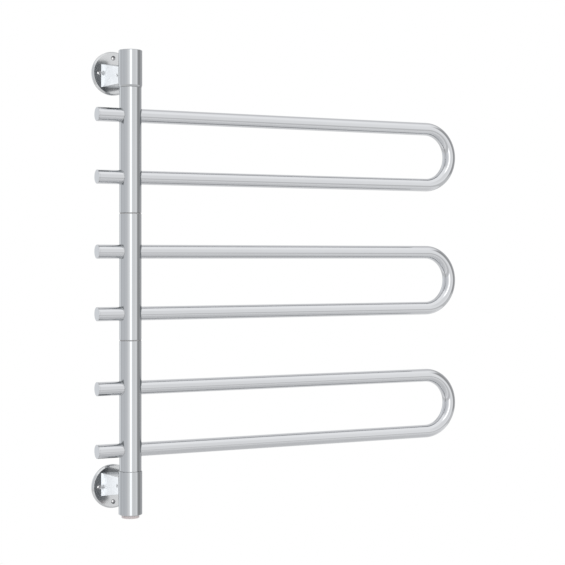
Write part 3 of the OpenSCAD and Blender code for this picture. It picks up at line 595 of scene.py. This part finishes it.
bend_z = math_node(loop_tree, "MULTIPLY", math_node(loop_tree, "COSINE", bend_turn),
                   math_node(loop_tree, "MULTIPLY", given["Bend Radius"], -1.0))
leg_end = math_node(loop_tree, "ADD", math_node(loop_tree, "LESS_THAN", step_index, 0.5),
                    math_node(loop_tree, "GREATER_THAN", step_index, bend_steps + 1.5))
path_x = add_node(loop_tree, "ShaderNodeMix", {0: leg_end, 2: bend_x, 3: given["Leg Start"]}).outputs[0]
path = add_node(loop_tree, "GeometryNodeSetPosition", {
    "Geometry": stepped.outputs[0], "Position": combine(loop_tree, path_x, 0.0, bend_z)})
bore_radius = math_node(loop_tree, "SUBTRACT", given["Tube Radius"], given["Wall"])
bore_ring = add_node(loop_tree, "GeometryNodeCurvePrimitiveCircle", {"Resolution": 72, "Radius": bore_radius})
bore = add_node(loop_tree, "GeometryNodeCurveToMesh", {
    "Curve": path.outputs[0], "Profile Curve": bore_ring.outputs[0]})
wall = add_node(loop_tree, "GeometryNodeExtrudeMesh", {
    "Mesh": bore.outputs[0], "Offset Scale": given["Wall"], "Individual": False}, mode="FACES")
bore_side = add_node(loop_tree, "GeometryNodeFlipFaces", {"Mesh": bore.outputs[0]})
both_sides = add_node(loop_tree, "GeometryNodeJoinGeometry")
loop_tree.links.new(wall.outputs["Mesh"], both_sides.inputs[0])
loop_tree.links.new(bore_side.outputs[0], both_sides.inputs[0])
seam_merge = 0.00001
tube_wall = add_node(loop_tree, "GeometryNodeMergeByDistance", {
    "Geometry": both_sides.outputs[0], "Distance": seam_merge})
drilled = add_node(loop_tree, "GeometryNodeMeshBoolean", {"Mesh 1": tube_wall.outputs[0]},
                   operation="DIFFERENCE", solver="EXACT")
drill_length = math_node(loop_tree, "MULTIPLY", given["Tube Radius"], 2.0)
drill = add_node(loop_tree, "GeometryNodeMeshCylinder", {
    "Vertices": 32, "Radius": given["Lead Hole Radius"], "Depth": drill_length})
for leg_side in (-1, 1):
    leg_z = math_node(loop_tree, "MULTIPLY", given["Bend Radius"], leg_side)
    drill_z = math_node(loop_tree, "SUBTRACT", leg_z, given["Lead Hole Drop"])
    drill_y = math_node(loop_tree, "MULTIPLY", given["Tube Radius"], -leg_side)
    drill_placed = add_node(loop_tree, "GeometryNodeTransform", {
        "Geometry": drill.outputs["Mesh"], "Translation": combine(loop_tree, 0.0, drill_y, drill_z),
        "Rotation": (math.radians(90), 0, 0)})
    loop_tree.links.new(drill_placed.outputs[0], drilled.inputs["Mesh 2"])
finish_shape(loop_tree, drilled.outputs["Mesh"], given["Place"], (0, 0, 0), given["Metal"], result)

loop_steel = metal_material("loop_polished_steel", (0.625, 0.636, 0.655), 0.06, (50, 1500, 1500),
                            bump_height=mirror_bump, line_depth=polished_line_depth)
low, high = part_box("lower_sleeve")
post_y = (low[1] + high[1]) / 2
loop_heights = {}
for level in ("lower", "middle", "upper"):
    low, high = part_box(f"{level}_loop_tube")
    loop_heights[level] = (low[2] + high[2]) / 2
for level, loop_z in loop_heights.items():
    bent_tube = mesh_from_tree(f"{level}_bent_tube", loop_tree, {
        "Place": (0.0, post_y, loop_z), "Metal": loop_steel})
    add_piece(f"{level}_bent_tube", bent_tube, loop_steel, f"{level}_section", "loop_steel",
              f"{level}_loop_tube")
    softened(f"{level}_stub_discs", f"{level}_stub_caps", loop_steel, f"{level}_section", "loop_steel",
             crisp_edge)


# Where a bar passes through the post it is welded all round. The bead is a small one, ground and polished
# with the rest, so only a slight ripple is left of it.
weld_tree, given, result = new_shape_tree("weld_beads", [
    ("Post Radius", "NodeSocketFloat", 0.019), ("Tube Radius", "NodeSocketFloat", 0.012),
    ("Bend Radius", "NodeSocketFloat", 0.053), ("Bead Radius", "NodeSocketFloat", 0.0006),
    ("Ripples", "NodeSocketFloat", 42.0), ("Ripple Depth", "NodeSocketFloat", 0.10),
    ("Place", "NodeSocketVector", (0, 0, 0)), ("Metal", "NodeSocketMaterial", None)])
bead_steps = 168
round_bar = add_node(weld_tree, "GeometryNodeCurvePrimitiveCircle", {"Resolution": bead_steps, "Radius": 1.0})
bead_index = add_node(weld_tree, "GeometryNodeInputIndex").outputs[0]
bead_turn = math_node(weld_tree, "MULTIPLY", bead_index, 2 * math.pi / bead_steps)
bead_y = math_node(weld_tree, "MULTIPLY", math_node(weld_tree, "COSINE", bead_turn), given["Tube Radius"])
bead_z = math_node(weld_tree, "MULTIPLY", math_node(weld_tree, "SINE", bead_turn), given["Tube Radius"])
post_square = math_node(weld_tree, "POWER", given["Post Radius"], 2.0)
bead_square = math_node(weld_tree, "POWER", bead_y, 2.0)
bead_x = math_node(weld_tree, "SQRT", math_node(weld_tree, "SUBTRACT", post_square, bead_square))
saddle = add_node(weld_tree, "GeometryNodeSetPosition", {
    "Geometry": round_bar.outputs[0], "Position": combine(weld_tree, bead_x, bead_y, bead_z)})
wave = math_node(weld_tree, "SINE", math_node(weld_tree, "MULTIPLY", bead_turn, given["Ripples"]))
rippled = math_node(weld_tree, "MULTIPLY_ADD", wave, given["Ripple Depth"], 1.0)
swelling = add_node(weld_tree, "GeometryNodeSetCurveRadius", {"Curve": saddle.outputs[0], "Radius": rippled})
bead_ring = add_node(weld_tree, "GeometryNodeCurvePrimitiveCircle", {
    "Resolution": 12, "Radius": given["Bead Radius"]})
bead = add_node(weld_tree, "GeometryNodeCurveToMesh", {
    "Curve": swelling.outputs[0], "Profile Curve": bead_ring.outputs[0]})
bead_place = add_node(weld_tree, "GeometryNodeInputIndex").outputs[0]
upper_bar = math_node(weld_tree, "GREATER_THAN", bead_place, 1.5)
bar_side = math_node(weld_tree, "MULTIPLY_ADD", upper_bar, 2.0, -1.0)
bar_z = math_node(weld_tree, "MULTIPLY", bar_side, given["Bend Radius"])
bead_points = add_node(weld_tree, "GeometryNodePoints", {
    "Count": 4, "Position": combine(weld_tree, 0.0, 0.0, bar_z)})
half_turn = math_node(weld_tree, "MULTIPLY", math_node(weld_tree, "MODULO", bead_place, 2.0), math.pi)
beads = add_node(weld_tree, "GeometryNodeInstanceOnPoints", {
    "Points": bead_points.outputs[0], "Instance": bead.outputs[0],
    "Rotation": combine(weld_tree, 0.0, 0.0, half_turn)})
beads_out = add_node(weld_tree, "GeometryNodeRealizeInstances", {"Geometry": beads.outputs[0]})
finish_shape(weld_tree, beads_out.outputs[0], given["Place"], (0, 0, 0), given["Metal"], result)

weld_steel = metal_material("weld_polished_steel", (0.50, 0.51, 0.52), 0.16, (400, 400, 400),
                            cloud_depth=0.10, cloud_size=400.0)
for level, loop_z in loop_heights.items():
    weld_beads = mesh_from_tree(f"{level}_weld_beads", weld_tree, {
        "Place": (0.0, post_y, loop_z), "Metal": weld_steel})
    add_piece(f"{level}_weld_beads", weld_beads, weld_steel, f"{level}_section", "loop_steel")


# A heating element lies in each loop, and its leads run down the post to the switch and out through the
# grommet in the lower flange. None of them shows from outside, apart from the grommet behind the flange.
dress(metal_material("element_sheath", (0.45, 0.43, 0.40), 0.35, (60, 900, 900)), "lower_heating_element",
      "middle_heating_element", "upper_heating_element")
dress(plastic_material("wire_cover", (0.55, 0.09, 0.04), 0.5), "supply_wires", "lower_lead_wires",
      "middle_lead_wires", "upper_lead_wires")
dress(plastic_material("grommet_rubber", (0.03, 0.03, 0.03), 0.7), "cable_grommet")
dress(screw_steel, "earth_screw")


# The switch sits in the collar's foot: a black housing with tinned terminals, a brass ring nut, a steel bezel
# and a faintly pink push button of moulded plastic with a shallow dish in its face.
dress(plastic_material("switch_plastic", (0.05, 0.05, 0.055), 0.4), "switch_housing")
dress(turned_brass, "switch_ring_nut")
spring_steel = metal_material("spring_steel", (0.50, 0.50, 0.50), 0.25, (900, 900, 900))
dress(metal_material("terminal_tin", (0.62, 0.62, 0.60), 0.30, (900, 900, 900)), "switch_terminals")
bezel_steel = metal_material("bezel_steel", (0.60, 0.60, 0.605), 0.10, lines_round_post)
softened("switch_bezel_ring", "switch_bezel", bezel_steel, "bracket_frame", "bezel_steel", crisp_edge)

button_low, button_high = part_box("switch_button")
button_r = 0.0152
button_rim_r = 0.0166
button_rim_z = -0.0332
button_rim_top = -0.0317
button_round = 0.0012
button_dish = 0.0004
spring_recess_r = 0.006
spring_recess_h = 0.005
spring_recess_z = button_rim_top - spring_recess_h
button_stem_r = 0.003
dish_steps = 8
turn_steps = 96
button_crease = 35
button_outline = []
for step in range(dish_steps + 1):
    dish_r = (button_r - 2 * button_round) * step / dish_steps
    dish_depth = button_dish * 0.5 * (1 + math.cos(math.pi * step / dish_steps))
    button_outline.append((dish_r, button_low[2] + dish_depth))
for step in range(dish_steps + 1):
    quarter = math.radians(90 * step / dish_steps)
    button_outline.append((button_r - button_round + button_round * math.sin(quarter),
                           button_low[2] + button_round - button_round * math.cos(quarter)))
button_outline += [
    (button_r, button_rim_z), (button_rim_r, button_rim_z), (button_rim_r, button_rim_top),
    (spring_recess_r, button_rim_top), (spring_recess_r, spring_recess_z), (button_stem_r, spring_recess_z),
    (button_stem_r, button_high[2]), (0.0, button_high[2]),
]
turned = bmesh.new()
rim_points = [turned.verts.new((radius, post_y, height)) for radius, height in button_outline]
rim_lines = [turned.edges.new(pair) for pair in zip(rim_points, rim_points[1:])]
bmesh.ops.spin(turned, geom=rim_points + rim_lines, cent=(0, post_y, 0), axis=(0, 0, 1), angle=2 * math.pi,
               steps=turn_steps, use_merge=True)
bmesh.ops.remove_doubles(turned, verts=turned.verts, dist=merge_distance)
bmesh.ops.recalc_face_normals(turned, faces=turned.faces)
for face in turned.faces:
    face.smooth = True
for side in turned.edges:
    side.smooth = not side.is_manifold or side.calc_face_angle() < math.radians(button_crease)
button_mesh = bpy.data.meshes.new("push_button_moulding")
turned.to_mesh(button_mesh)
turned.free()
button_plastic = plastic_material("button_plastic", (0.60, 0.54, 0.54), 0.3)
add_piece("push_button_moulding", button_mesh, button_plastic, "push_button", "button_plastic",
          "switch_button")


# The button's return spring is wound from round steel wire. Its foot sits in the button's recess and its head
# bears on the housing, so in the switch it shortens as the button is pressed; here it is built at rest length
# and rides on no body.
spring_tree, given, result = new_shape_tree("wound_spring", [
    ("Coil Radius", "NodeSocketFloat", 0.0045), ("Wire Radius", "NodeSocketFloat", 0.0004),
    ("Turns", "NodeSocketFloat", 4.0), ("Rise", "NodeSocketFloat", 0.0064),
    ("Place", "NodeSocketVector", (0, 0, 0)), ("Metal", "NodeSocketMaterial", None)])
coil = add_node(spring_tree, "GeometryNodeCurveSpiral", {
    "Resolution": 40, "Rotations": given["Turns"], "Start Radius": given["Coil Radius"],
    "End Radius": given["Coil Radius"], "Height": given["Rise"], "Reverse": False})
wire_ring = add_node(spring_tree, "GeometryNodeCurvePrimitiveCircle", {
    "Resolution": 14, "Radius": given["Wire Radius"]})
wire = add_node(spring_tree, "GeometryNodeCurveToMesh", {
    "Curve": coil.outputs[0], "Profile Curve": wire_ring.outputs[0], "Fill Caps": True})
finish_shape(spring_tree, wire.outputs[0], given["Place"], (0, 0, 0), given["Metal"], result)
spring_wire_r = 0.0004
spring_low, spring_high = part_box("button_spring")
wound_spring = mesh_from_tree("wound_return_spring", spring_tree, {
    "Wire Radius": spring_wire_r, "Rise": spring_high[2] - spring_low[2] - 2 * spring_wire_r,
    "Place": (0.0, post_y, spring_low[2] + spring_wire_r), "Metal": spring_steel})
return_spring = add_piece("wound_return_spring", wound_spring, spring_steel, None, "spring_steel",
                          "button_spring")
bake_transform(return_spring)
